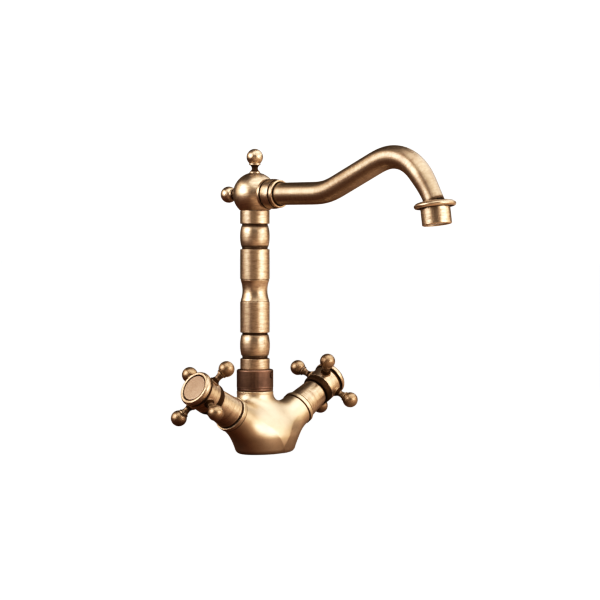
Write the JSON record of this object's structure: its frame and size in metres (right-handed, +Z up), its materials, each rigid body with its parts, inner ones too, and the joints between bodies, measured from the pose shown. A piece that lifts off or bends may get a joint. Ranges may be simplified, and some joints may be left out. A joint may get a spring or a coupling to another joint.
{
  "type": "two-handle basin mixer tap",
  "caption": "Deck-mounted basin mixer with a turned column, globe head, swivelling bent spout and two quarter-turn cross handles.",
  "frame": {"origin": "mouth of the fixing-stud hole, in the middle of the base's underside", "axes": "+Z up along the stud hole and parallel to the column; the spout at rest points along -Y; the arms leave along -X and +X"},
  "size_m": [0.1885, 0.2587, 0.2635],
  "materials": {
    "cast_antique_brass": "cast body, satin antique brass with brown patina in the hollows",
    "turned_antique_brass": "lathe-brushed satin antique brass, dark grooves, rubbed bright edges",
    "dark_bronze_nut": "straight-knurled nut, dark brown patina",
    "brushed_index_disc": "plain disc, fine brushed satin",
    "plain_brass": "machined bare brass, hidden inside",
    "stainless_steel": "plain stainless steel",
    "black_rubber": "moulded black rubber",
    "white_ceramic": "lapped white ceramic",
    "white_plastic": "white acetal plastic"
  },
  "bodies": {
    "body": {"body_casting": "cast_antique_brass", "base_seal": "black_rubber", "swivel_nut": "dark_bronze_nut", "grub_screw": "stainless_steel", "slip_washer": "white_plastic", "left_valve_body": "plain_brass", "left_valve_seal": "black_rubber", "left_fixed_disc": "white_ceramic", "left_sleeve": "turned_antique_brass", "right_valve_body": "plain_brass", "right_valve_seal": "black_rubber", "right_fixed_disc": "white_ceramic", "right_sleeve": "turned_antique_brass"},
    "spout": {"column": "turned_antique_brass", "tail_o_rings": "black_rubber", "split_ring": "plain_brass", "globe_head": "turned_antique_brass", "top_finial": "turned_antique_brass", "rear_finial": "turned_antique_brass", "gland_ring": "turned_antique_brass", "spout_tube": "turned_antique_brass", "spout_flange": "turned_antique_brass", "nozzle_washer": "black_rubber", "aerator_housing": "turned_antique_brass", "aerator_insert": "white_plastic", "aerator_screen": "stainless_steel"},
    "left_handle": {"left_stem": "plain_brass", "left_moving_disc": "white_ceramic", "left_stem_o_rings": "black_rubber", "left_hub": "turned_antique_brass", "left_ball_spokes": "turned_antique_brass", "left_cap_ring": "turned_antique_brass", "left_index_disc": "brushed_index_disc", "left_handle_screw": "stainless_steel"},
    "right_handle": {"right_stem": "plain_brass", "right_moving_disc": "white_ceramic", "right_stem_o_rings": "black_rubber", "right_hub": "turned_antique_brass", "right_ball_spokes": "turned_antique_brass", "right_cap_ring": "turned_antique_brass", "right_index_disc": "brushed_index_disc", "right_handle_screw": "stainless_steel"}
  },
  "joints": [
    {"name": "spout_swivel", "type": "hinge", "parent": "body", "child": "spout", "pos_m": [0, 0.0124, 0.0717], "axis": [0, 0, 1], "continuous": true},
    {"name": "left_handle_turn", "type": "hinge", "parent": "body", "child": "left_handle", "pos_m": [-0.07526, 0, 0.05555], "axis": [-0.866, 0, 0.5], "range_deg": [0, 90]},
    {"name": "right_handle_turn", "type": "hinge", "parent": "body", "child": "right_handle", "pos_m": [0.07526, 0, 0.05555], "axis": [0.866, 0, 0.5], "range_deg": [-90, 0]}
  ]
}
